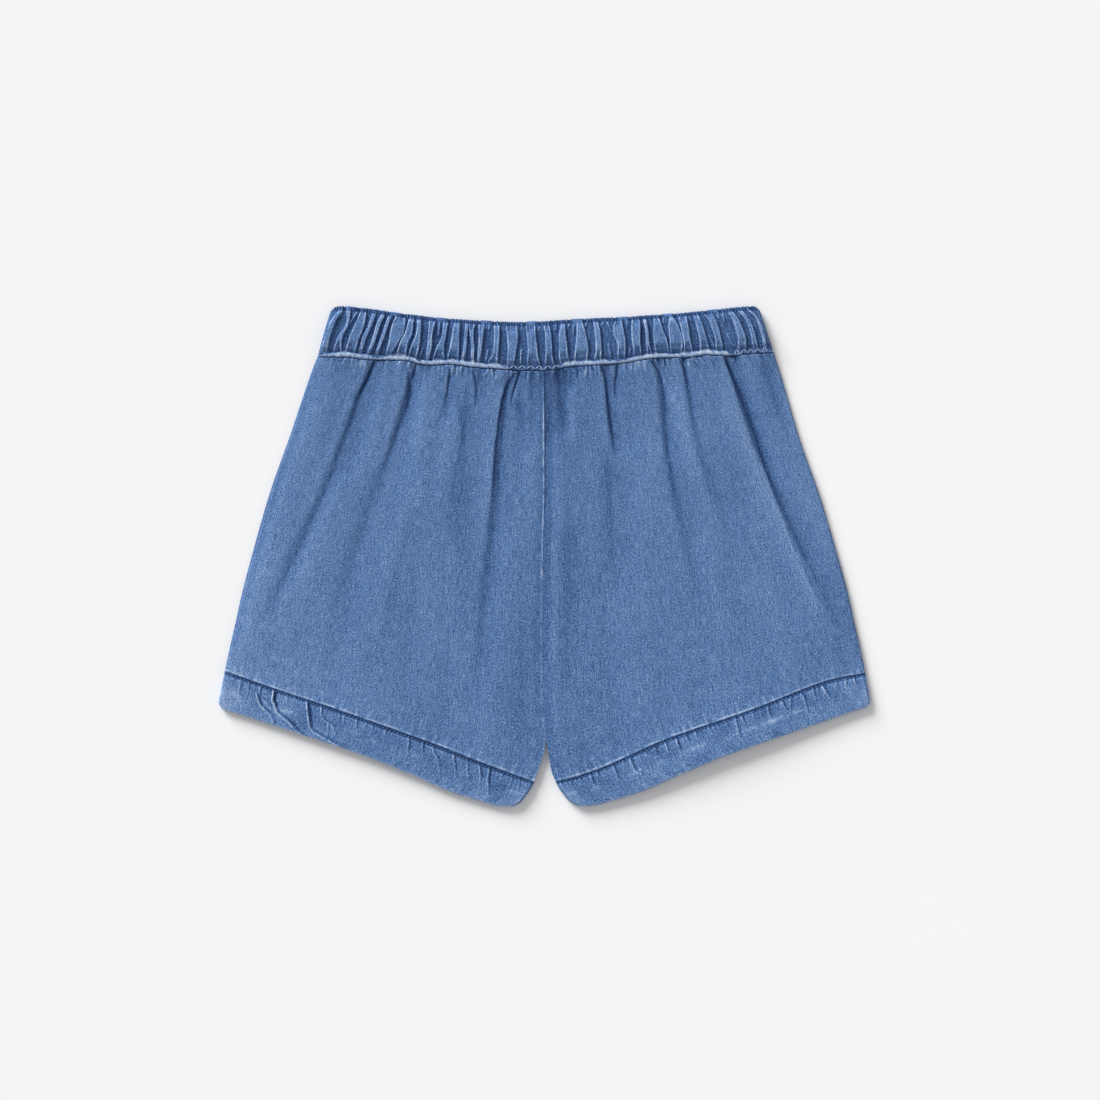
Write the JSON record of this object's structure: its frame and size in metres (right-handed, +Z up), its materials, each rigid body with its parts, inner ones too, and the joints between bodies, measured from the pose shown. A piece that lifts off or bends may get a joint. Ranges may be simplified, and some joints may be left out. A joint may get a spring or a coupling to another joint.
{
  "type": "denim skort",
  "caption": "Pull-on denim skort laid flat with its back up: gathered elastic waistband, centre-back seam, soft folds and flared legs with turned hems.",
  "frame": {"origin": "middle of the laid garment's outline, on the surface it lies on", "axes": "+X from the wearer's left to the wearer's right, +Y from the hems to the waistband, +Z up from the surface, out of the garment's back"},
  "size_m": [0.3982, 0.3052, 0.0074],
  "materials": {
    "denim_panel": "matt washed blue denim with a vertical slub",
    "denim_hem": "matt washed blue denim, paler along the stitched edge",
    "denim_gathered": "matt washed blue denim, pale on the gathers and dark between them"
  },
  "bodies": {
    "root": {"back_left": "denim_panel", "back_right": "denim_panel", "front_left": "denim_panel", "front_right": "denim_panel", "hem_left": "denim_hem", "hem_right": "denim_hem", "waistband": "denim_gathered"}
  },
  "joints": []
}
